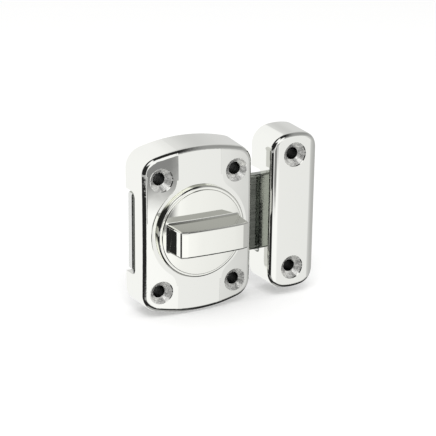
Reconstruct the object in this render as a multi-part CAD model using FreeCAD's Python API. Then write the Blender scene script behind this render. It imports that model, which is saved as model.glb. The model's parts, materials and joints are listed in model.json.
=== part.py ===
import FreeCAD, Part
import math
import os
from collections import namedtuple

# A surface-mounted bathroom latch: a cast case with a turn knob that drives a flat
# bolt sideways, and the separate cast keeper that the bolt shoots into.
# Millimetres. The case's back face lies on Y = 0 and its front faces -Y. X is to the
# right, Z is up, and the knob turns about the Y axis. "Depth" is the distance in
# front of the back face. The bolt is modelled thrown to the right, into the keeper.

Vector = FreeCAD.Vector
Form = namedtuple("Form", "width height rise corner draft edge x z")

# Case, outside
case_width = 36.5
case_height = 52.0
case_depth = 12.0
case_rise = 3.3             # rise of the arched top and bottom
case_corner = 6.0
case_draft = 0.052          # each side leans in by this much per mm of depth
case_edge_round = 1.5
crown_radius = 650.0        # the front faces are very slightly domed

# Raised middle of the case's front: an upright band, and a collar round the knob.
# Outside it the front leans back towards both sides, in degrees.
band_half_width = 7.4
band_inner_round = 5.0
collar_wall = 1.1           # round the knob's recess
side_lean = 3.0

# Walls of both castings
side_wall = 1.8
face_wall = 2.2

# Fixing holes for 3.5 mm countersunk wood screws
hole_radius = 1.85
countersink_radius = 3.5
post_wall = 1.9
case_hole_pitch_x = 24.6
case_hole_pitch_z = 34.6
case_hole_shift_z = -0.45

# Back plate and its screws
plate_thickness = 0.7
plate_clearance = 0.2
plate_tongue_half_width = 6.6
plate_tongue_reach = 19.2
plate_screw_x = 3.8
plate_screw_z = 16.0
plate_screw_radius = 1.1
plate_screw_head_radius = 1.9
plate_screw_length = 5.5
plate_screw_slot_width = 0.5
plate_screw_slot_depth = 0.35
plate_post_radius = 2.5

# Bolt
bolt_height = 24.0
bolt_shift_z = -0.4
bolt_thickness = 3.3
bolt_end_round = 0.7
bolt_corner_round = 0.9
bolt_side_clearance = 0.15
bolt_face_clearance = 0.1
rail_thickness = 1.2
bearing_rib_x = 13.6
bearing_rib_width = 1.2

# Notches in the case's side walls, where the bolt passes
notch_half_height = 12.85
notch_shift_z = -0.55
notch_depth = 5.6
notch_corner = 2.0
notch_overrun = 1.8         # how far the cut of a notch runs on inside the wall

# Knob
knob_seat_depth = 0.5       # how far the knob's disc sits down into the case
knob_seat_clearance = 0.3
knob_gap = 0.1              # behind the disc
knob_flange_height = 1.45   # lower tier of the disc, above the case's front
knob_flange_round = 0.6
knob_ledge_width = 0.4
knob_rim_height = 0.1       # upright side of the upper tier
knob_rim_round = 0.25
knob_dome_rise = 0.5
bar_length = 23.3           # at its foot
bar_end_draft = 5.0         # degrees
bar_root_thickness = 8.4
bar_front_thickness = 8.0
bar_front_depth = 22.1
bar_crown_rise = 0.3
bar_bevel_width = 2.0       # bevel at each end of the bar's front
bar_bevel_depth = 0.6
bar_edge_round = 0.6
bar_root_round = 0.5
bar_rim_gap = 0.4           # from the foot of the bar to the rim's round
dome_half_way = 0.75        # share of the dome's rise at half its radius
disc_seam_angle = 30.0      # keeps the turned disc's seam off the bar's corners

# Spindle, crank and washers
spindle_radius = 4.0
running_clearance = 0.05
spindle_knob_square = 5.6
spindle_knob_reach = 6.5
arm_square = 5.0
arm_thickness = 1.6
arm_hub_radius = 4.6
arm_end_radius = 3.0
arm_bolt_gap = 0.25
crank_radius = 7.4
crank_start_angle = 45.0    # from straight down, towards the keeper
pin_radius = 1.8
pin_slot_clearance = 0.3
pin_stem_radius = 1.4
pin_end_gap = 0.3
boss_radius = 7.2
washer_radius = 6.2
washer_bore_clearance = 0.1
thrust_washer_thickness = 0.5
spring_washer_sheet = 0.3
spring_washer_height = 0.55
stack_gap = 0.05
lock_washer_radius = 2.8
lock_washer_thickness = 0.5
lock_washer_slit = 0.4
spindle_screw_radius = 1.5
spindle_screw_head_radius = 2.7
spindle_screw_head_height = 1.4
spindle_screw_length = 5.0
spindle_screw_slot_width = 0.5
spindle_screw_slot_depth = 0.7
thread_clearance = 0.03
window_clearance = 0.5

# Leaf spring that presses the bolt on the back plate
leaf_half_span = 9.4
leaf_bow = 1.7
leaf_sheet = 0.4
leaf_width = 4.2
leaf_z = 8.7
leaf_gap = 0.05
leaf_pad_width = 2.2
leaf_pad_lip = 0.8
leaf_pad_overhang = 0.3

# Keeper
keeper_width = 16.1
keeper_height = 50.0
keeper_rise = 1.8
keeper_corner = 5.6
keeper_draft = 0.03
keeper_edge_round = 1.4
keeper_side_width = 2.3     # strip along each side of the front that leans back
keeper_side_lean = 18.0     # degrees
keeper_side_round = 3.5
door_gap = 5.3              # between the case's side and the keeper's side
keeper_shift_z = 1.1
keeper_hole_pitch_z = 35.8
keeper_notch_half_height = 13.3
keeper_notch_shift_z = -0.9
keeper_notch_depth = 5.5
keeper_notch_corner = 1.2
keeper_web = 1.4

# Small overrun so that cuts pass clean through a face, and the limit for two things that touch
over = 0.5
touch_limit = 0.001

# Worked out from the sizes above
inner_face_depth = case_depth - face_wall
bolt_back_depth = plate_thickness + bolt_face_clearance
bolt_front_depth = bolt_back_depth + bolt_thickness
bolt_half_height = bolt_height / 2.0
bolt_rest_x = case_width / 2.0 - case_draft * bolt_front_depth
stroke = 2.0 * crank_radius * math.sin(math.radians(crank_start_angle))
arm_back_depth = bolt_front_depth + arm_bolt_gap
arm_front_depth = arm_back_depth + arm_thickness
boss_inner_depth = arm_front_depth + spring_washer_height + thrust_washer_thickness + 3.0 * stack_gap
bar_foot_reach = math.hypot(bar_length, bar_root_thickness) / 2.0
rim_radius = bar_foot_reach + bar_rim_gap + knob_rim_round
knob_radius = rim_radius + knob_ledge_width + knob_flange_round
recess_radius = knob_radius + knob_seat_clearance
collar_radius = recess_radius + collar_wall
knob_floor_depth = case_depth - knob_seat_depth - knob_radius ** 2 / (2.0 * crown_radius)
knob_back_depth = knob_floor_depth + knob_gap
flange_depth = case_depth + knob_flange_height
rim_edge_depth = flange_depth + knob_rim_height
disc_face_depth = rim_edge_depth + knob_rim_round
disc_top_depth = disc_face_depth + knob_dome_rise
rail_z = bolt_half_height + bolt_side_clearance
plate_half_height = rail_z + rail_thickness - plate_clearance
keeper_x = case_width / 2.0 + door_gap + keeper_width / 2.0
keeper_notch_z = keeper_shift_z + keeper_notch_shift_z
window_half_height = spindle_screw_head_radius + window_clearance

case_form = Form(case_width, case_height, case_rise, case_corner, case_draft, case_edge_round, 0.0, 0.0)
keeper_form = Form(keeper_width, keeper_height, keeper_rise, keeper_corner, keeper_draft, keeper_edge_round,
                   keeper_x, keeper_shift_z)


def at(x, depth, z):
    return Vector(x, -depth, z)


def block(x0, x1, depth0, depth1, z0, z1):
    return Part.makeBox(x1 - x0, depth1 - depth0, z1 - z0, at(x0, depth1, z0))


def rod(radius, depth0, depth1, x=0.0, z=0.0):
    return Part.makeCylinder(radius, depth1 - depth0, at(x, depth0, z), Vector(0, -1, 0))


def cone(radius0, radius1, depth0, depth1, x=0.0, z=0.0):
    return Part.makeCone(radius0, radius1, depth1 - depth0, at(x, depth0, z), Vector(0, -1, 0))


def turned(edges):
    """Revolves a closed profile, drawn in the X-depth plane, about the knob's axis."""
    face = Part.Face(Part.Wire(Part.__sortEdges__(edges)))
    return face.revolve(Vector(0, 0, 0), Vector(0, 1, 0), 360)


def joined(first, *others):
    return first.multiFuse(list(others)).removeSplitter()


def outline(form, inset, depth):
    """Straight sides, arched top and bottom, and rounded corners, pulled in by inset."""
    arch = ((form.width / 2.0) ** 2 + form.rise ** 2) / (2.0 * form.rise)
    arch_z = form.height / 2.0 - arch
    arch -= inset
    side = form.width / 2.0 - inset
    corner = form.corner - inset
    corner_x = side - corner
    corner_z = arch_z + math.sqrt((arch - corner) ** 2 - corner_x ** 2)
    normal = Vector(corner_x, 0, corner_z - arch_z).normalize()
    middle = (normal + Vector(1, 0, 0)).normalize()
    touch = Vector(0, 0, arch_z) + normal * arch
    bend = Vector(corner_x, 0, corner_z) + middle * corner

    def place(x, z):
        return at(form.x + x, depth, form.z + z)

    edges = [Part.LineSegment(place(side, -corner_z), place(side, corner_z)).toShape()]
    edges.append(Part.Arc(place(side, corner_z), place(bend.x, bend.z), place(touch.x, touch.z)).toShape())
    edges.append(Part.Arc(place(touch.x, touch.z), place(0, arch_z + arch), place(-touch.x, touch.z)).toShape())
    edges.append(Part.Arc(place(-touch.x, touch.z), place(-bend.x, bend.z), place(-side, corner_z)).toShape())
    edges.append(Part.LineSegment(place(-side, corner_z), place(-side, -corner_z)).toShape())
    edges.append(Part.Arc(place(-side, -corner_z), place(-bend.x, -bend.z), place(-touch.x, -touch.z)).toShape())
    edges.append(Part.Arc(place(-touch.x, -touch.z), place(0, -arch_z - arch), place(touch.x, -touch.z)).toShape())
    edges.append(Part.Arc(place(touch.x, -touch.z), place(bend.x, -bend.z), place(side, -corner_z)).toShape())
    return Part.Wire(edges)


def leaning_solid(form, inset, depth0, depth1):
    """The outline drawn forward, leaning in with the casting draft."""
    back = outline(form, inset + form.draft * depth0, depth0)
    front = outline(form, inset + form.draft * depth1, depth1)
    return Part.makeLoft([back, front], True, True)


def dome(form):
    """A ball whose front is the casting's very slightly domed face."""
    return Part.makeSphere(crown_radius, at(form.x, case_depth - crown_radius, form.z))


def casting_outside(form, front):
    """A drafted block, cut by the front's shape, with a rounded front edge."""
    sides = leaning_solid(form, 0.0, 0.0, case_depth + over)
    body = sides.common(front)
    rim = [edge for edge in body.Edges if -edge.BoundBox.YMin > case_depth / 2.0 and lies_on(edge, sides)]
    return body.makeFillet(form.edge, rim)


def lies_on(edge, solid):
    """True if the edge's middle lies on the solid's skin."""
    middle = Part.Vertex(edge.valueAt((edge.FirstParameter + edge.LastParameter) / 2.0))
    return solid.Shells[0].distToShape(middle)[0] < touch_limit


def side_region(side):
    """A prism over all of one side of the case's front that lies outside the raised middle."""
    round_x = band_half_width + band_inner_round
    reach = collar_radius + band_inner_round
    round_z = math.sqrt(reach ** 2 - round_x ** 2)
    share = collar_radius / reach
    toward = (Vector(-1, 0, 0) + Vector(-round_x, 0, -round_z) / reach).normalize() * band_inner_round

    def place(x, z):
        return at(side * x, 0.0, z)

    def line(*ends):
        return Part.LineSegment(place(*ends[0]), place(*ends[1])).toShape()

    def arc(*stops):
        return Part.Arc(*[place(*stop) for stop in stops]).toShape()

    inner = band_half_width - over
    edges = [line((case_width, -case_height), (case_width, case_height))]
    edges.append(line((case_width, case_height), (inner, case_height)))
    edges.append(line((inner, case_height), (inner, round_z)))
    edges.append(line((inner, round_z), (band_half_width, round_z)))
    edges.append(arc((band_half_width, round_z), (round_x + toward.x, round_z + toward.z),
                     (share * round_x, share * round_z)))
    edges.append(arc((share * round_x, share * round_z), (collar_radius, 0.0), (share * round_x, -share * round_z)))
    edges.append(arc((share * round_x, -share * round_z), (round_x + toward.x, -round_z - toward.z),
                     (band_half_width, -round_z)))
    edges.append(line((band_half_width, -round_z), (inner, -round_z)))
    edges.append(line((inner, -round_z), (inner, -case_height)))
    edges.append(line((inner, -case_height), (case_width, -case_height)))
    return Part.Face(Part.Wire(edges)).extrude(Vector(0, -(case_depth + over), 0))


def case_outside():
    """The case's outside: the raised middle, and on each side the lower front that leans back."""
    middle = casting_outside(case_form, dome(case_form))
    sides = []
    for side in (-1, 1):
        ball = dome(case_form)
        ball.rotate(at(side * band_half_width, dome_depth(band_half_width), 0), Vector(0, 0, 1), side * side_lean)
        region = side_region(side)
        sides.append(casting_outside(case_form, ball).common(region))
        middle = middle.cut(region)
    return joined(middle, *sides)


def screw_hole(x, z, face_depth):
    """A fixing hole through a casting, with its 90 degree countersink."""
    sink_depth = countersink_radius - hole_radius
    hole = rod(hole_radius, -over, case_depth + over, x, z)
    sink = cone(hole_radius, countersink_radius + over, face_depth - sink_depth, face_depth + over, x, z)
    return hole.fuse(sink)


def dome_depth(distance):
    """Depth of a domed front at a distance from its centre."""
    return case_depth - distance ** 2 / (2.0 * crown_radius)


def notch(x0, x1, depth, half_height, z, corner):
    """A side opening for the bolt, open to the back, with two rounded front corners."""
    cut = block(x0, x1, -over, depth, z - half_height, z + half_height)
    corners = [edge for edge in cut.Edges if edge.BoundBox.YMax < -(depth - over) and edge.BoundBox.XLength > over]
    return cut.makeFillet(corner, corners)


def side_depth(x, z):
    """Depth of the case's front on either side of its raised middle."""
    return dome_depth(math.hypot(x, z)) - (abs(x) - band_half_width) * math.tan(math.radians(side_lean))


def case_screw_places():
    for side in (-1, 1):
        for end in (-1, 1):
            yield side * case_hole_pitch_x / 2.0, case_hole_shift_z + end * case_hole_pitch_z / 2.0


def plate_screw_places():
    for side in (-1, 1):
        for end in (-1, 1):
            yield side * plate_screw_x, end * plate_screw_z


def make_case():
    outside = case_outside()
    hollow = leaning_solid(case_form, side_wall, -over, inner_face_depth)
    shell = outside.cut(hollow)
    inside = []
    for x, z in case_screw_places():
        inside.append(rod(hole_radius + post_wall, 0.0, inner_face_depth + over, x, z))
    for x, z in plate_screw_places():
        inside.append(rod(plate_post_radius, plate_thickness, inner_face_depth + over, x, z))
    rail_x = case_width / 2.0 - side_wall / 2.0
    for end in (-1, 1):
        edge = bolt_shift_z + end * rail_z
        low, high = sorted((edge, edge + end * rail_thickness))
        inside.append(block(-rail_x, rail_x, plate_thickness, inner_face_depth + over, low, high))
        rib = end * bearing_rib_x
        inside.append(block(rib - bearing_rib_width / 2.0, rib + bearing_rib_width / 2.0,
                            bolt_front_depth + bolt_face_clearance, inner_face_depth + over,
                            bolt_shift_z - rail_z, bolt_shift_z + rail_z))
    inside.append(rod(boss_radius, boss_inner_depth, inner_face_depth + over))
    inside.extend(leaf_pads())
    body = joined(shell, *[piece.common(outside) for piece in inside])
    cuts = [rod(spindle_radius + running_clearance, 0.0, case_depth + over)]
    cuts.append(rod(recess_radius, knob_floor_depth, case_depth + over))
    for x, z in case_screw_places():
        cuts.append(screw_hole(x, z, side_depth(x, z)))
    for x, z in plate_screw_places():
        cuts.append(rod(plate_screw_radius + thread_clearance, 0.0, plate_screw_length + over, x, z))
    inner_x = case_width / 2.0 - side_wall - notch_overrun
    outer_x = case_width / 2.0 + over
    cuts.append(notch(inner_x, outer_x, notch_depth, notch_half_height, notch_shift_z, notch_corner))
    cuts.append(notch(-outer_x, -inner_x, notch_depth, notch_half_height, notch_shift_z, notch_corner))
    for cut in cuts:
        body = body.cut(cut)
    return body


def leaf_end_depth():
    """Depth of the leaf spring's front face at its ends."""
    return bolt_front_depth + leaf_gap + leaf_bow + leaf_sheet


def leaf_pads():
    """Two pads inside the case that the leaf spring's ends bear on, each with an outer lip."""
    pads = []
    seat = leaf_end_depth() + leaf_gap
    half_width = leaf_width / 2.0 + leaf_pad_overhang
    for side in (-1, 1):
        inner = leaf_half_span - leaf_pad_width
        outer = leaf_half_span + leaf_gap + leaf_pad_lip
        low, high = sorted((side * inner, side * outer))
        pads.append(block(low, high, seat, inner_face_depth + over, leaf_z - half_width, leaf_z + half_width))
        low, high = sorted((side * (leaf_half_span + leaf_gap), side * outer))
        lip_depth = seat - leaf_bow / 2.0
        pads.append(block(low, high, lip_depth, seat, leaf_z - half_width, leaf_z + half_width))
    return pads


def make_back_plate():
    half_width = case_width / 2.0 - side_wall - plate_clearance
    plate = block(-half_width, half_width, 0.0, plate_thickness,
                  bolt_shift_z - plate_half_height, bolt_shift_z + plate_half_height)
    tongue = block(-plate_tongue_half_width, plate_tongue_half_width, 0.0, plate_thickness,
                   -plate_tongue_reach, plate_tongue_reach)
    corners = [edge for edge in tongue.Edges if edge.BoundBox.YLength > edge.BoundBox.XLength + edge.BoundBox.ZLength]
    plate = joined(plate, tongue.makeFillet(plate_screw_head_radius, corners))
    for x, z in plate_screw_places():
        plate = plate.cut(plate_screw_room(x, z))
    return plate


def plate_screw_room(x, z):
    """Countersunk hole for one of the plate's screws, its wide end at the back."""
    wide = plate_screw_head_radius + thread_clearance
    narrow = plate_screw_radius + thread_clearance
    sink = cone(wide, narrow, 0.0, plate_thickness, x, z)
    return sink.fuse(rod(narrow, plate_thickness, plate_thickness + over, x, z))


def make_plate_screws():
    screws = []
    for x, z in plate_screw_places():
        head = cone(plate_screw_head_radius, plate_screw_radius, 0.0, plate_thickness, x, z)
        shank = rod(plate_screw_radius, plate_thickness, plate_screw_length, x, z)
        slot = block(x - plate_screw_head_radius, x + plate_screw_head_radius, -over, plate_screw_slot_depth,
                     z - plate_screw_slot_width / 2.0, z + plate_screw_slot_width / 2.0)
        screws.append(joined(head, shank).cut(slot))
    return Part.makeCompound(screws)


def pin_place():
    angle = math.radians(crank_start_angle)
    return crank_radius * math.sin(angle), -crank_radius * math.cos(angle)


def make_bolt():
    left = -bolt_rest_x
    right = bolt_rest_x + stroke
    bar = block(left, right, bolt_back_depth, bolt_front_depth,
                bolt_shift_z - bolt_half_height, bolt_shift_z + bolt_half_height)
    corners = [edge for edge in bar.Edges if edge.BoundBox.YLength > 2.0 * over and edge.BoundBox.ZLength < over]
    bar = bar.makeFillet(bolt_corner_round, corners)
    ends = [edge for edge in bar.Edges
            if edge.BoundBox.ZLength > bolt_half_height and edge.BoundBox.XLength < over]
    bar = bar.makeFillet(bolt_end_round, ends)
    window = block(-window_half_height, stroke + window_half_height, 0.0, case_depth,
                   -window_half_height, window_half_height)
    corners = [edge for edge in window.Edges if edge.BoundBox.YLength > case_depth / 2.0]
    window = window.makeFillet(window_half_height / 2.0, corners)
    pin_x, pin_z = pin_place()
    slot_radius = pin_radius + pin_slot_clearance
    slot_end = -(crank_radius + pin_slot_clearance)
    slot = block(pin_x - slot_radius, pin_x + slot_radius, 0.0, case_depth, slot_end, 0.0)
    return bar.cut(window).cut(slot).cut(rod(slot_radius, 0.0, case_depth, pin_x, slot_end))


def make_knob():
    def line(a, b):
        return Part.LineSegment(at(a[0], a[1], 0), at(b[0], b[1], 0)).toShape()

    def curve(a, b, c):
        return Part.Arc(at(a[0], a[1], 0), at(b[0], b[1], 0), at(c[0], c[1], 0)).toShape()

    turn = 1.0 - math.sqrt(0.5)
    centre_back = (0.0, knob_back_depth)
    side_back = (knob_radius, knob_back_depth)
    side_front = (knob_radius, flange_depth - knob_flange_round)
    flange_middle = (knob_radius - turn * knob_flange_round, flange_depth - turn * knob_flange_round)
    flange_front = (knob_radius - knob_flange_round, flange_depth)
    rim_back = (rim_radius, flange_depth)
    rim_front = (rim_radius, rim_edge_depth)
    rim_middle = (rim_radius - turn * knob_rim_round, disc_face_depth - turn * knob_rim_round)
    rim_inner = (rim_radius - knob_rim_round, disc_face_depth)
    dome_top = (0.0, disc_top_depth)
    dome_middle = (rim_inner[0] / 2.0, disc_face_depth + dome_half_way * knob_dome_rise)
    disc = turned([line(centre_back, side_back), line(side_back, side_front),
                   curve(side_front, flange_middle, flange_front), line(flange_front, rim_back),
                   line(rim_back, rim_front), curve(rim_front, rim_middle, rim_inner),
                   curve(rim_inner, dome_middle, dome_top), line(dome_top, centre_back)])
    disc.rotate(Vector(0, 0, 0), Vector(0, 1, 0), disc_seam_angle)
    body = joined(disc, thumb_bar())
    root = [edge for edge in body.Edges if is_bar_root(edge)]
    body = body.makeFillet(bar_root_round, root)
    half = spindle_knob_square / 2.0
    return body.cut(block(-half, half, knob_back_depth - over, knob_back_depth + spindle_knob_reach, -half, half))


def is_bar_root(edge):
    """True for the edges where the thumb bar stands on the disc."""
    box = edge.BoundBox
    near_face = -box.YMin < disc_top_depth + over and -box.YMax > disc_face_depth
    inside_bar = max(abs(box.XMin), abs(box.XMax)) < bar_length / 2.0 + over
    return near_face and inside_bar


def thumb_bar():
    """The level bar of the knob: shorter and thinner towards its front, with bevelled ends."""
    half = bar_length / 2.0
    bevel_depth = bar_front_depth - bar_bevel_depth
    end = half - (bevel_depth - rim_edge_depth) * math.tan(math.radians(bar_end_draft))
    crown = end - bar_bevel_width
    corners = [(-crown, bar_front_depth), (-end, bevel_depth), (-half, rim_edge_depth),
               (half, rim_edge_depth), (end, bevel_depth), (crown, bar_front_depth)]
    points = [at(x, depth, 0) for x, depth in corners]
    edges = [Part.LineSegment(points[i], points[i + 1]).toShape() for i in range(len(points) - 1)]
    edges.append(Part.Arc(points[-1], at(0, bar_front_depth + bar_crown_rise, 0), points[0]).toShape())
    side_view = Part.Face(Part.Wire(edges))
    side_view.translate(Vector(0, 0, -bar_root_thickness))
    side_view = side_view.extrude(Vector(0, 0, 2.0 * bar_root_thickness))
    root = bar_root_thickness / 2.0
    front = bar_front_thickness / 2.0
    front_depth = bar_front_depth + bar_crown_rise
    points = [at(-half, rim_edge_depth, -root), at(-half, front_depth, -front),
              at(-half, front_depth, front), at(-half, rim_edge_depth, root)]
    end_view = Part.Face(Part.makePolygon(points + points[:1])).extrude(Vector(bar_length, 0, 0))
    bar = side_view.common(end_view)
    rim = [edge for edge in bar.Edges if -edge.BoundBox.YMin > rim_edge_depth + over]
    return bar.makeFillet(bar_edge_round, rim)


def make_spindle():
    half = spindle_knob_square / 2.0
    knob_end = knob_back_depth + spindle_knob_reach - stack_gap
    upper = block(-half, half, knob_back_depth, knob_end, -half, half)
    round_part = rod(spindle_radius, arm_front_depth, knob_back_depth)
    half = arm_square / 2.0
    lower = block(-half, half, arm_back_depth, arm_front_depth, -half, half)
    body = joined(upper, round_part, lower)
    return body.cut(rod(spindle_screw_radius + thread_clearance, 0.0, arm_back_depth + spindle_screw_length + over))


def make_crank_arm():
    pin_x, pin_z = pin_place()
    hub = rod(arm_hub_radius, arm_back_depth, arm_front_depth)
    end = rod(arm_end_radius, arm_back_depth, arm_front_depth, pin_x, pin_z)
    lean = math.asin((arm_hub_radius - arm_end_radius) / crank_radius)
    heading = math.atan2(pin_z, pin_x)
    corners = []
    for radius, centre_x, centre_z, side in ((arm_hub_radius, 0.0, 0.0, 1), (arm_end_radius, pin_x, pin_z, 1),
                                             (arm_end_radius, pin_x, pin_z, -1), (arm_hub_radius, 0.0, 0.0, -1)):
        angle = heading + side * (math.pi / 2.0 - lean)
        corners.append(at(centre_x + radius * math.cos(angle), arm_back_depth, centre_z + radius * math.sin(angle)))
    web = Part.Face(Part.makePolygon(corners + corners[:1])).extrude(Vector(0, -arm_thickness, 0))
    half = arm_square / 2.0
    arm = joined(hub, end, web).cut(block(-half, half, 0.0, case_depth, -half, half))
    return arm.cut(rod(pin_stem_radius, 0.0, case_depth, pin_x, pin_z))


def make_crank_pin():
    pin_x, pin_z = pin_place()
    working = rod(pin_radius, plate_thickness + pin_end_gap, arm_back_depth, pin_x, pin_z)
    stem = rod(pin_stem_radius, arm_back_depth, arm_front_depth, pin_x, pin_z)
    return joined(working, stem)


def make_spring_washer():
    """A dished washer, its inner edge on the crank arm and its outer edge on the thrust washer."""
    low = arm_front_depth + stack_gap
    high = low + spring_washer_height
    inner = spindle_radius + washer_bore_clearance
    rise = spring_washer_height - spring_washer_sheet
    points = [at(inner, low, 0), at(washer_radius, low + rise, 0),
              at(washer_radius, high, 0), at(inner, low + spring_washer_sheet, 0)]
    return turned([Part.LineSegment(points[i], points[(i + 1) % 4]).toShape() for i in range(4)])


def make_thrust_washer():
    high = boss_inner_depth - stack_gap
    ring = rod(washer_radius, high - thrust_washer_thickness, high)
    return ring.cut(rod(spindle_radius + washer_bore_clearance, 0.0, case_depth))


def make_lock_washer():
    low = arm_back_depth - lock_washer_thickness
    ring = rod(lock_washer_radius, low, arm_back_depth)
    ring = ring.cut(rod(spindle_screw_radius + washer_bore_clearance, 0.0, case_depth))
    half = lock_washer_slit / 2.0
    return ring.cut(block(0.0, lock_washer_radius + over, 0.0, case_depth, -half, half))


def make_spindle_screw():
    head_front = arm_back_depth - lock_washer_thickness
    head_back = head_front - spindle_screw_head_height
    head = rod(spindle_screw_head_radius, head_back, head_front)
    rim = [edge for edge in head.Edges if edge.BoundBox.YMin > -(head_back + stack_gap)]
    head = head.makeFillet(spindle_screw_head_height / 2.0, rim)
    shank = rod(spindle_screw_radius, head_front, arm_back_depth + spindle_screw_length)
    half = spindle_screw_slot_width / 2.0
    slot = block(-spindle_screw_head_radius, spindle_screw_head_radius, 0.0,
                 head_back + spindle_screw_slot_depth, -half, half)
    return joined(head, shank).cut(slot)


def make_leaf_spring():
    """A bowed strip, its middle on the bolt and its ends on the case's pads."""
    middle = bolt_front_depth + leaf_gap
    ends = middle + leaf_bow
    half = leaf_half_span
    back = Part.Arc(at(-half, ends, 0), at(0, middle, 0), at(half, ends, 0)).toShape()
    front = Part.Arc(at(half, ends + leaf_sheet, 0), at(0, middle + leaf_sheet, 0),
                     at(-half, ends + leaf_sheet, 0)).toShape()
    left = Part.LineSegment(at(-half, ends + leaf_sheet, 0), at(-half, ends, 0)).toShape()
    right = Part.LineSegment(at(half, ends, 0), at(half, ends + leaf_sheet, 0)).toShape()
    strip = Part.Face(Part.Wire([back, right, front, left]))
    strip.translate(Vector(0, 0, leaf_z - leaf_width / 2.0))
    return strip.extrude(Vector(0, 0, leaf_width))


def keeper_front():
    """A prism whose front is the keeper's face, with a strip on each side that leans back."""
    half = keeper_width / 2.0
    crease = half - keeper_side_width
    crease_depth = dome_depth(crease)
    edge_depth = crease_depth - keeper_side_width * math.tan(math.radians(keeper_side_lean))
    corners = [(crease, crease_depth), (half, edge_depth), (half, 0.0),
               (-half, 0.0), (-half, edge_depth), (-crease, crease_depth)]
    points = [at(keeper_x + x, depth, keeper_shift_z - keeper_height) for x, depth in corners]
    edges = [Part.LineSegment(points[i], points[i + 1]).toShape() for i in range(len(points) - 1)]
    top = at(keeper_x, case_depth, keeper_shift_z - keeper_height)
    edges.append(Part.Arc(points[-1], top, points[0]).toShape())
    prism = Part.Face(Part.Wire(edges)).extrude(Vector(0, 0, 2.0 * keeper_height))
    creases = [edge for edge in prism.Edges
               if edge.BoundBox.ZLength > keeper_height and edge.BoundBox.YMax < -(edge_depth + stack_gap)]
    return prism.makeFillet(keeper_side_round, creases)


def make_keeper():
    outside = casting_outside(keeper_form, keeper_front())
    hollow = leaning_solid(keeper_form, side_wall, -over, inner_face_depth)
    shell = outside.cut(hollow)
    half = keeper_width / 2.0
    inside = []
    for end in (-1, 1):
        z = keeper_shift_z + end * keeper_hole_pitch_z / 2.0
        inside.append(rod(hole_radius + post_wall, 0.0, inner_face_depth + over, keeper_x, z))
        edge = keeper_notch_z + end * keeper_notch_half_height
        low, high = sorted((edge, edge + end * keeper_web))
        inside.append(block(keeper_x - half, keeper_x + half, 0.0, inner_face_depth + over, low, high))
    body = joined(shell, *[piece.common(outside) for piece in inside])
    for end in (-1, 1):
        z = keeper_shift_z + end * keeper_hole_pitch_z / 2.0
        body = body.cut(screw_hole(keeper_x, z, dome_depth(keeper_hole_pitch_z / 2.0)))
    left = keeper_x - half
    return body.cut(notch(left - over, left + side_wall + notch_overrun, keeper_notch_depth,
                          keeper_notch_half_height, keeper_notch_z, keeper_notch_corner))


parts = {
    "case": make_case(),
    "back_plate": make_back_plate(),
    "plate_screws": make_plate_screws(),
    "leaf_spring": make_leaf_spring(),
    "bolt": make_bolt(),
    "knob": make_knob(),
    "spindle": make_spindle(),
    "crank_arm": make_crank_arm(),
    "crank_pin": make_crank_pin(),
    "spring_washer": make_spring_washer(),
    "thrust_washer": make_thrust_washer(),
    "lock_washer": make_lock_washer(),
    "spindle_screw": make_spindle_screw(),
    "keeper": make_keeper(),
}

os.makedirs("parts", exist_ok=True)
for name, shape in parts.items():
    print(name, "solids", len(shape.Solids), "valid", shape.isValid(), "volume", round(shape.Volume, 2))
    shape.exportStep("parts/" + name + ".step")
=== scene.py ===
import bpy
import json
import math
from collections import namedtuple
from mathutils import Matrix, Vector


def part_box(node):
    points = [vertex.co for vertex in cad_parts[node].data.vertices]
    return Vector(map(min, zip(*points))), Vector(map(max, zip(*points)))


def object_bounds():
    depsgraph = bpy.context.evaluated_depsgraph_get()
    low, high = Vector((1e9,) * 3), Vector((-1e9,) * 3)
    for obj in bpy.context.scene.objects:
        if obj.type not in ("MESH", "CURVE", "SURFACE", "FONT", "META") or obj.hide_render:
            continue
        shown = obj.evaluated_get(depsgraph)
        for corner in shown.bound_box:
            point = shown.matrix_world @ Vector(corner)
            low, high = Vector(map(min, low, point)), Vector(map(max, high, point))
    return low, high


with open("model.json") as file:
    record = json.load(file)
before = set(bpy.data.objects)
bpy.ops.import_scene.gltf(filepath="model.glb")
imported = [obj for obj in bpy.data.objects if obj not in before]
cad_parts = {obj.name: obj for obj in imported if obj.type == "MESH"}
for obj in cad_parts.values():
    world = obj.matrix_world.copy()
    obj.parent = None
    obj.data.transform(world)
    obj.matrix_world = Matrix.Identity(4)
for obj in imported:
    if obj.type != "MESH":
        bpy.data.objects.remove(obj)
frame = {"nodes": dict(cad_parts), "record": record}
cad_low, cad_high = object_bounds()
mounts = {mount["name"]: mount for mount in frame["record"]["mounts"]}
MM = 0.001

# Camera, solved from the photograph: metres and degrees, and millimetres for its lens and sensor
CAMERA_PLACE = (-0.18590, -0.37181, 0.14546)
CAMERA_HEADING = 28.06
CAMERA_DOWN = 19.26
CAMERA_ROLL = 0.70
CAMERA_LENS = 121.66
CAMERA_SENSOR = 36.0
CAMERA_CLIP = (0.01, 20.0)

# Floor and lamp
FLOOR_SIZE = 6.0
FLOOR_COLOUR = (0.9, 0.9, 0.895)
FLOOR_GLOW = 0.24       # brings the floor up to white in the camera's view
LAMP_PLACE = (-0.25, -0.45, 0.7)
LAMP_SIZE = 0.5
LAMP_POWER = 3.0

# The studio that metal reflects, laid out by direction. x, y and z are those of a direction of length 1. A
# heading is in degrees: 0 is straight behind the object, 90 to its right and 180 in front of it.
FILL_LEVEL = 0.72       # what surfaces that aren't shiny see all round
DARK = 0.02
# Heading and level of the walls all round
WALLS = [(-180, 1.0), (-160, 0.95), (-152, DARK), (-58, DARK), (-48, 0.95), (15, 0.93), (29, 0.62),
         (34, 0.68), (48, 0.6), (75, 0.42), (105, 0.44), (130, 0.52), (139, 0.6), (147, 0.83), (156, 0.87),
         (163, 1.0), (180, 1.0)]

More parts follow.
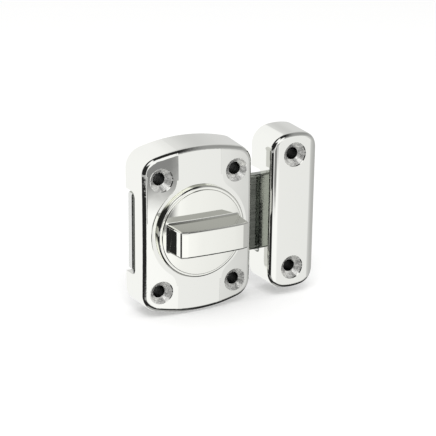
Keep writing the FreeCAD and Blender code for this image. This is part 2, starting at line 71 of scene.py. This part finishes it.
# Patches on the walls: an end is the range of headings or of z in which the patch goes from nothing to full
Patch = namedtuple("Patch", "level left right bottom top")
WINDOW = Patch(0.42, (-160.0, -156.0), (-54.0, -58.0), (-0.286, -0.250), (-0.102, -0.138))
LOW_WINDOW = Patch(0.30, (-161.0, -155.0), (-111.0, -117.0), (-0.72, -0.64), (-0.38, -0.46))
CARD = Patch(0.24, (159.5, 162.0), (-173.0, -176.0), (-0.310, -0.260), (-0.015, -0.065))
LOWER_CARD = Patch(0.24, (177.5, 179.5), (-167.0, -170.0), (-0.332, -0.304), (-0.026, -0.054))

# Areas in front, overhead and below: the ranges of x, y and z in which each goes from nothing to full
Area = namedtuple("Area", "level x y z", defaults=[None, None, None])
IN_FRONT = (0.30, 0.12)
STRIP = Area(0.38, x=(0.20, 0.32), y=IN_FRONT, z=(0.12, 0.19))
CEILING = Area(DARK, x=(-0.25, -0.12), y=IN_FRONT, z=(0.42, 0.54))
DARK_FLOOR = Area(DARK, y=(0.52, 0.34), z=(-0.55, -0.66))
GROUND = Area(0.42, z=(-0.90, -0.95))
SOFT_BOX = Area(1.0, x=(-0.16, -0.28), y=(-0.15, -0.40), z=(0.50, 0.60))
CEILING_PALE_LEVEL = 0.30
CEILING_PALES = (0.26, 0.50)    # range of x
CEILING_STEP = 0.19             # how much higher it begins on the left
CEILING_STEP_ENDS = (0.15, 0.35)

# Places on the castings and the bolt that have a finish of their own
SINK_RADIUS = 3.5 * MM
SINK_DEPTH = 9.0 * MM           # the countersinks lie in front of this
BORE_MARGIN = 0.04 * MM         # past the bore's radius, so that its wall is caught
INSIDE_DEPTH = 9.85 * MM        # the castings' insides lie behind this
INSIDE_OF_WALL = 1.45 * MM      # and this far within their outer walls
ARCH_RISE = {"case": 3.3 * MM, "keeper": 1.8 * MM}      # of their arched tops and bottoms
CORNER_RADIUS = {"case": 6.0 * MM, "keeper": 5.6 * MM}
BOLT_HIGHLIGHT_DEPTH = 0.35 * MM      # how far in from its end the bolt has its painted highlight

# Finishes: colour, roughness, relief of the grain in metres, grains per metre, their stretch along the axes,
# how much the grain darkens the colour, and how metallic the surface is
Finish = namedtuple("Finish", "colour roughness relief density stretch speckle metal",
                    defaults=[(1.0, 1.0, 1.0), 0.0, 1.0])
POLISHED = Finish((0.955, 0.96, 0.92), 0.025, 4.0e-6, 190.0)
KNOB_POLISHED = POLISHED._replace(colour=(0.995, 1.0, 0.945))
SINK = Finish((0.97, 0.97, 0.94), 0.27, 5.0e-5, 1300.0, speckle=0.35, metal=0.6)
# Bores painted near-black: painted shade inside the screw holes
BORE_PAINTED_SHADE = Finish((0.05, 0.052, 0.048), 0.45, 2.0e-5, 1500.0)
# Duller cast finish on the castings' insides, made darker with painted shade
CAST_AND_SHADED_INSIDE = Finish((0.55, 0.56, 0.56), 0.38, 1.2e-5, 1900.0)
# The bolt's drawn grain, in a colour darkened with painted shade from the gap between case and keeper
DRAWN_AND_SHADED = Finish((0.39, 0.41, 0.375), 0.14, 2.5e-6, 1500.0, (0.06, 1.0, 1.0))
# The bolt's end in the case's side wall, painted brighter: a painted highlight
BOLT_END_HIGHLIGHT = Finish((0.80, 0.81, 0.79), 0.16, 3.0e-6, 1500.0)
TURNED = Finish((0.60, 0.60, 0.61), 0.22, 2.0e-6, 5000.0)
ZINC_PLATED = Finish((0.66, 0.67, 0.70), 0.30, 3.0e-6, 1400.0)
ZINC_TINT = (0.72, 0.70, 0.62)
BLUED = Finish((0.19, 0.20, 0.26), 0.26, 2.0e-6, 1200.0)
BLUED_TINT = (0.27, 0.23, 0.22)
GRAIN_RANGE = (0.3, 0.7)        # of the noise, in which the roughness changes
UNEVEN = (0.7, 1.3)             # and the shares of its usual value that it changes between
PATCHY_RANGE = (0.35, 0.65)     # of the noise, in which speckles and clouds change colour
CLOUD_GRAINS = 8.0              # grains across a cloud
NYLON_COLOUR = (0.84, 0.83, 0.76)
NYLON_DENSITY = 2500.0
NYLON_ROUGHNESS = (0.38, 0.52)
NYLON_GLOW = {"Subsurface Weight": 0.3, "Subsurface Radius": (1.0, 0.9, 0.7), "Subsurface Scale": 0.3 * MM}


class Nodes:
    """Adds shader nodes to a tree and links them, so that each material reads as a short recipe."""

    def __init__(self, tree):
        self.tree = tree
        tree.nodes.clear()

    def add(self, kind, inputs=(), **settings):
        node = self.tree.nodes.new(kind)
        for name, value in settings.items():
            setattr(node, name, value)
        for name, value in dict(inputs).items():
            self.feed(node.inputs[name], value)
        return node

    def feed(self, socket, value):
        if isinstance(value, bpy.types.NodeSocket):
            self.tree.links.new(value, socket)
        elif isinstance(value, bpy.types.Node):
            self.tree.links.new(value.outputs[0], socket)
        else:
            socket.default_value = value

    def feed_all(self, node, places, values):
        """Feeds the inputs at these places, for nodes whose inputs share one name."""
        for place, value in zip(places, values):
            self.feed(node.inputs[place], value)
        return node

    def math(self, operation, *values):
        node = self.add("ShaderNodeMath", operation=operation)
        return self.feed_all(node, (0, 1), values).outputs[0]

    def vector(self, operation, first, second):
        node = self.add("ShaderNodeVectorMath", operation=operation)
        return self.feed_all(node, (0, 1), (first, second))

    def product(self, first, *others):
        for other in others:
            first = self.math("MULTIPLY", first, other)
        return first

    def span(self, value, low, high, to_low=0.0, to_high=1.0):
        """Maps value from low..high to to_low..to_high, smoothly and clamped. low may be the greater one."""
        node = self.add("ShaderNodeMapRange", {"Value": value}, interpolation_type="SMOOTHSTEP")
        for name, number in (("From Min", low), ("From Max", high), ("To Min", to_low), ("To Max", to_high)):
            self.feed(node.inputs[name], number)
        return node.outputs["Result"]

    def levels(self, value, stops):
        """A grey that follows the stops (value, level) smoothly."""
        low = stops[0][0]
        width = stops[-1][0] - low
        share = self.math("DIVIDE", self.math("SUBTRACT", value, low), width)
        node = self.add("ShaderNodeValToRGB", {"Fac": share})
        ramp = node.color_ramp
        ramp.interpolation = "EASE"
        while len(ramp.elements) < len(stops):
            ramp.elements.new(1.0)
        for element, (place, level) in zip(ramp.elements, stops):
            element.position = (place - low) / width
            element.color = grey(level)
        return node.outputs["Color"]

    def mix(self, share, first, second):
        """Mixes two colours."""
        node = self.add("ShaderNodeMix", data_type="RGBA")
        return self.feed_all(node, (0, 6, 7), (share, first, second)).outputs[2]

    def number(self, share, first, second):
        """Mixes two numbers."""
        node = self.add("ShaderNodeMix", data_type="FLOAT")
        return self.feed_all(node, (0, 2, 3), (share, first, second)).outputs[0]


def grey(level):
    return (level, level, level, 1.0)


def opaque(colour):
    return (*colour, 1.0)


def middle_and_half(node):
    """The middle of a node's box and half its size."""
    low, high = (Vector(corner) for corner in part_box(node))
    return (low + high) / 2.0, (high - low) / 2.0


def build_world():
    """White to the camera, an even fill for soft light, and a studio of walls and cards for metal."""
    world = bpy.data.worlds.new("studio")
    world.use_nodes = True
    n = Nodes(world.node_tree)
    direction = n.add("ShaderNodeTexCoord").outputs["Generated"]
    x, y, z = n.add("ShaderNodeSeparateXYZ", {"Vector": direction}).outputs
    heading = n.math("MULTIPLY", n.math("ARCTAN2", x, y), math.degrees(1.0))

    def share_of(area, height):
        fades = ((x, area.x), (y, area.y), (height, area.z))
        return n.product(*(n.span(value, *fade) for value, fade in fades if fade))

    studio = n.levels(heading, WALLS)
    for patch in (WINDOW, LOW_WINDOW, CARD, LOWER_CARD):
        # A patch that runs through straight in front has its left end at the greater heading
        join = "MAXIMUM" if patch.left > patch.right else "MULTIPLY"
        across = n.math(join, n.span(heading, *patch.left), n.span(heading, *patch.right))
        share = n.product(across, n.span(z, *patch.bottom), n.span(z, *patch.top))
        studio = n.mix(share, studio, grey(patch.level))
    studio = n.mix(share_of(STRIP, z), studio, grey(STRIP.level))
    # The ceiling begins higher on the left, and pales to the right
    height = n.math("SUBTRACT", z, n.span(x, *CEILING_STEP_ENDS, CEILING_STEP, 0.0))
    ceiling = n.mix(n.span(x, *CEILING_PALES), grey(CEILING.level), grey(CEILING_PALE_LEVEL))
    studio = n.mix(share_of(CEILING, height), studio, ceiling)
    for area in (DARK_FLOOR, GROUND, SOFT_BOX):
        studio = n.mix(share_of(area, z), studio, grey(area.level))

    path = n.add("ShaderNodeLightPath")
    shiny = n.math("MAXIMUM", path.outputs["Is Glossy Ray"], path.outputs["Is Transmission Ray"])
    seen = n.mix(shiny, grey(FILL_LEVEL), studio)
    colour = n.mix(path.outputs["Is Camera Ray"], seen, grey(1.0))
    background = n.add("ShaderNodeBackground", {"Color": colour, "Strength": 1.0})
    n.add("ShaderNodeOutputWorld", {"Surface": background})
    bpy.context.scene.world = world


def build_floor():
    mesh = bpy.data.meshes.new("floor")
    half = FLOOR_SIZE / 2.0
    level = cad_low.z
    corners = [(-half, -half, level), (half, -half, level), (half, half, level), (-half, half, level)]
    mesh.from_pydata(corners, [], [(0, 1, 2, 3)])
    floor = bpy.data.objects.new("floor", mesh)
    bpy.context.scene.collection.objects.link(floor)
    material = bpy.data.materials.new("floor")
    material.use_nodes = True
    n = Nodes(material.node_tree)
    diffuse = n.add("ShaderNodeBsdfDiffuse", {"Color": opaque(FLOOR_COLOUR)})
    path = n.add("ShaderNodeLightPath")
    strength = n.math("MULTIPLY", path.outputs["Is Camera Ray"], FLOOR_GLOW)
    glow = n.add("ShaderNodeEmission", {"Color": grey(1.0), "Strength": strength})
    both = n.feed_all(n.add("ShaderNodeAddShader"), (0, 1), (diffuse, glow))
    n.add("ShaderNodeOutputMaterial", {"Surface": both})
    mesh.materials.append(material)
    floor.visible_glossy = False


def build_lamp():
    light = bpy.data.lights.new("key", "AREA")
    light.size = LAMP_SIZE
    light.energy = LAMP_POWER
    lamp = bpy.data.objects.new("key", light)
    lamp.location = LAMP_PLACE
    lamp.rotation_euler = (-Vector(LAMP_PLACE)).to_track_quat("-Z", "Y").to_euler()
    lamp.visible_glossy = False
    bpy.context.scene.collection.objects.link(lamp)


def build_camera():
    heading, down, roll = (math.radians(angle) for angle in (CAMERA_HEADING, CAMERA_DOWN, CAMERA_ROLL))
    across = math.cos(down)
    forward = Vector((math.sin(heading) * across, math.cos(heading) * across, -math.sin(down)))
    level = Vector((math.cos(heading), -math.sin(heading), 0.0))
    upright = level.cross(forward)
    right = level * math.cos(roll) + upright * math.sin(roll)
    up = upright * math.cos(roll) - level * math.sin(roll)
    data = bpy.data.cameras.new("camera")
    data.sensor_width = CAMERA_SENSOR
    data.lens = CAMERA_LENS
    data.clip_start, data.clip_end = CAMERA_CLIP
    camera = bpy.data.objects.new("camera", data)
    turn = Matrix((right, up, -forward)).transposed().to_4x4()
    camera.matrix_world = Matrix.Translation(CAMERA_PLACE) @ turn
    bpy.context.scene.collection.objects.link(camera)
    bpy.context.scene.camera = camera


def screw_places(mount_name):
    """X and Z of each hole of a bolt pattern, read from the record."""
    mount = mounts[mount_name]
    x, _, z = mount["pos_m"]
    dims = mount["dims"]
    half_x = dims.get("spacing_x_mm", 0.0) * MM / 2.0
    half_z = dims["spacing_y_mm"] * MM / 2.0
    return sorted({(x + side * half_x, z + end * half_z) for side in (-1, 1) for end in (-1, 1)})


def axis_distance(n, place, axes):
    """Distance from the nearest of some axes that run front to back, each given by its X and Z."""
    flat = n.vector("MULTIPLY", place, (1.0, 0.0, 1.0))
    nearest = None
    for x, z in axes:
        away = n.vector("DISTANCE", flat, (x, 0.0, z)).outputs["Value"]
        nearest = away if nearest is None else n.math("MINIMUM", nearest, away)
    return nearest


def inside_mask(n, place, node):
    """1 on the inside of a casting: well within its outer walls, and behind its front wall."""
    middle, half = middle_and_half(node)
    corner = CORNER_RADIUS[node]
    rise = ARCH_RISE[node]
    arch_radius = (half.x ** 2 + rise ** 2) / (2.0 * rise)
    x, y, z = n.add("ShaderNodeSeparateXYZ", {"Vector": place}).outputs
    away_x = n.math("ABSOLUTE", n.math("SUBTRACT", x, middle.x))
    away_z = n.math("ABSOLUTE", n.math("SUBTRACT", z, middle.z))
    drop = n.math("DIVIDE", n.product(away_x, away_x), 2.0 * arch_radius)
    # How far the place lies beyond the straight stretches, towards a rounded corner
    beyond_x = n.math("MAXIMUM", n.math("SUBTRACT", away_x, half.x - corner), 0.0)
    beyond_z = n.math("MAXIMUM", n.math("SUBTRACT", n.math("ADD", away_z, drop), half.z - corner), 0.0)
    squares = n.math("ADD", n.product(beyond_x, beyond_x), n.product(beyond_z, beyond_z))
    within_walls = n.math("LESS_THAN", n.math("SQRT", squares), corner - INSIDE_OF_WALL)
    return n.product(n.math("GREATER_THAN", y, -INSIDE_DEPTH), within_walls)


def begin(name):
    material = bpy.data.materials.new(name)
    material.use_nodes = True
    n = Nodes(material.node_tree)
    return material, n, n.add("ShaderNodeTexCoord").outputs["Object"]


def noise(n, place, density, detail=2.0):
    return n.add("ShaderNodeTexNoise", {"Vector": place, "Scale": density, "Detail": detail}).outputs[0]


def grains(n, place, finish):
    """Noise in the size and direction of a finish's grain."""
    return noise(n, n.vector("MULTIPLY", place, finish.stretch), finish.density)


def polish(n, grain, finish):
    """Roughness that changes with the grain, and the grain's relief."""
    low, high = (finish.roughness * share for share in UNEVEN)
    return n.span(grain, *GRAIN_RANGE, low, high), n.math("MULTIPLY", grain, finish.relief)


def surface(n, inputs):
    shader = n.add("ShaderNodeBsdfPrincipled", inputs)
    n.add("ShaderNodeOutputMaterial", {"Surface": shader})


def metal_surface(n, colour, rough, height, metal=1.0):
    bump = n.add("ShaderNodeBump", {"Height": height, "Strength": 1.0, "Distance": 1.0})
    surface(n, {"Base Color": colour, "Metallic": metal, "Roughness": rough, "Normal": bump})


def coated(name, base, *zones):
    """A metal finish with its grain and uneven polish, and zones (mask, finish) that have their own."""
    material, n, place = begin(name)

    def layer(finish):
        grain = grains(n, place, finish)
        colour = opaque(finish.colour)
        if finish.speckle:
            darker = opaque(Vector(finish.colour) * (1.0 - finish.speckle))
            colour = n.mix(n.span(grain, *PATCHY_RANGE), darker, colour)
        return colour, *polish(n, grain, finish)

    colour, rough, height = layer(base)
    metal = base.metal
    for mask_of, finish in zones:
        mask = mask_of(n, place)
        own_colour, own_rough, own_height = layer(finish)
        colour = n.mix(mask, colour, own_colour)
        rough = n.number(mask, rough, own_rough)
        height = n.number(mask, height, own_height)
        if metal != finish.metal:
            metal = n.number(mask, metal, finish.metal)
    metal_surface(n, colour, rough, height, metal)
    return material


def casting(name, node, screws):
    """Chrome-plated casting, with rougher countersinks, and painted shade in its bores and its dull inside.
    """
    holes = screw_places(screws)
    bore = mounts[screws]["dims"]["hole_r_mm"] * MM

    def near_hole(n, place, radius):
        return n.math("LESS_THAN", axis_distance(n, place, holes), radius)

    # The inside: a duller cast finish, made darker with painted shade
    def inside(n, place):
        return inside_mask(n, place, node)

    def sinks(n, place):
        y = n.add("ShaderNodeSeparateXYZ", {"Vector": place}).outputs["Y"]
        return n.product(near_hole(n, place, SINK_RADIUS), n.math("LESS_THAN", y, -SINK_DEPTH))

    # The bores are painted near-black: painted shade
    def bores(n, place):
        return near_hole(n, place, bore + BORE_MARGIN)

    return coated(name, POLISHED, (inside, CAST_AND_SHADED_INSIDE), (sinks, SINK), (bores, BORE_PAINTED_SHADE))


def shaded_drawn_bar(name, node):
    """Drawn bar, darkened with painted shade, with a painted highlight on its end in the case's side wall.
    """
    low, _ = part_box(node)
    highlight_to = low[0] + BOLT_HIGHLIGHT_DEPTH

    # The end of the bolt carries the painted highlight
    def highlighted_end(n, place):
        x = n.add("ShaderNodeSeparateXYZ", {"Vector": place}).outputs["X"]
        return n.math("LESS_THAN", x, highlight_to)

    return coated(name, DRAWN_AND_SHADED, (highlighted_end, BOLT_END_HIGHLIGHT))


def turned_steel(name, node):
    """Turned steel, whose grain lies in rings about the piece's own axis."""
    material, n, place = begin(name)
    middle, _ = middle_and_half(node)
    away = axis_distance(n, place, [(middle.x, middle.z)])
    grain = grains(n, n.add("ShaderNodeCombineXYZ", {"X": away}), TURNED)
    metal_surface(n, opaque(TURNED.colour), *polish(n, grain, TURNED))
    return material


def tinted_steel(name, finish, tint):
    """A plated or blued finish whose colour drifts towards a second tint in broad clouds."""
    material, n, place = begin(name)
    cloud = noise(n, place, finish.density / CLOUD_GRAINS, 1.0)
    colour = n.mix(n.span(cloud, *PATCHY_RANGE), opaque(finish.colour), opaque(tint))
    metal_surface(n, colour, *polish(n, grains(n, place, finish), finish))
    return material


def nylon(name):
    material, n, place = begin(name)
    rough = n.span(noise(n, place, NYLON_DENSITY), *GRAIN_RANGE, *NYLON_ROUGHNESS)
    surface(n, {"Base Color": opaque(NYLON_COLOUR), "Roughness": rough, **NYLON_GLOW})
    return material


def dress(node, material):
    mesh = frame["nodes"][node].data
    for index in range(len(mesh.materials)):
        mesh.materials[index] = material


bpy.context.scene.view_settings.view_transform = "Standard"
build_camera()
build_world()
build_floor()
build_lamp()

dress("case", casting("case_chrome", "case", "case_screws"))
dress("keeper", casting("keeper_chrome", "keeper", "keeper_screws"))
dress("knob", coated("knob_chrome", KNOB_POLISHED))
dress("bolt", shaded_drawn_bar("bolt_metal", "bolt"))
zinc_plated = tinted_steel("zinc_plated", ZINC_PLATED, ZINC_TINT)
for node in ("back_plate", "plate_screws", "crank_arm"):
    dress(node, zinc_plated)
blued = tinted_steel("blued_steel", BLUED, BLUED_TINT)
for node in ("leaf_spring", "spring_washer", "lock_washer"):
    dress(node, blued)
for node in ("spindle", "crank_pin", "spindle_screw"):
    dress(node, turned_steel(node + "_steel", node))
dress("thrust_washer", nylon("nylon"))
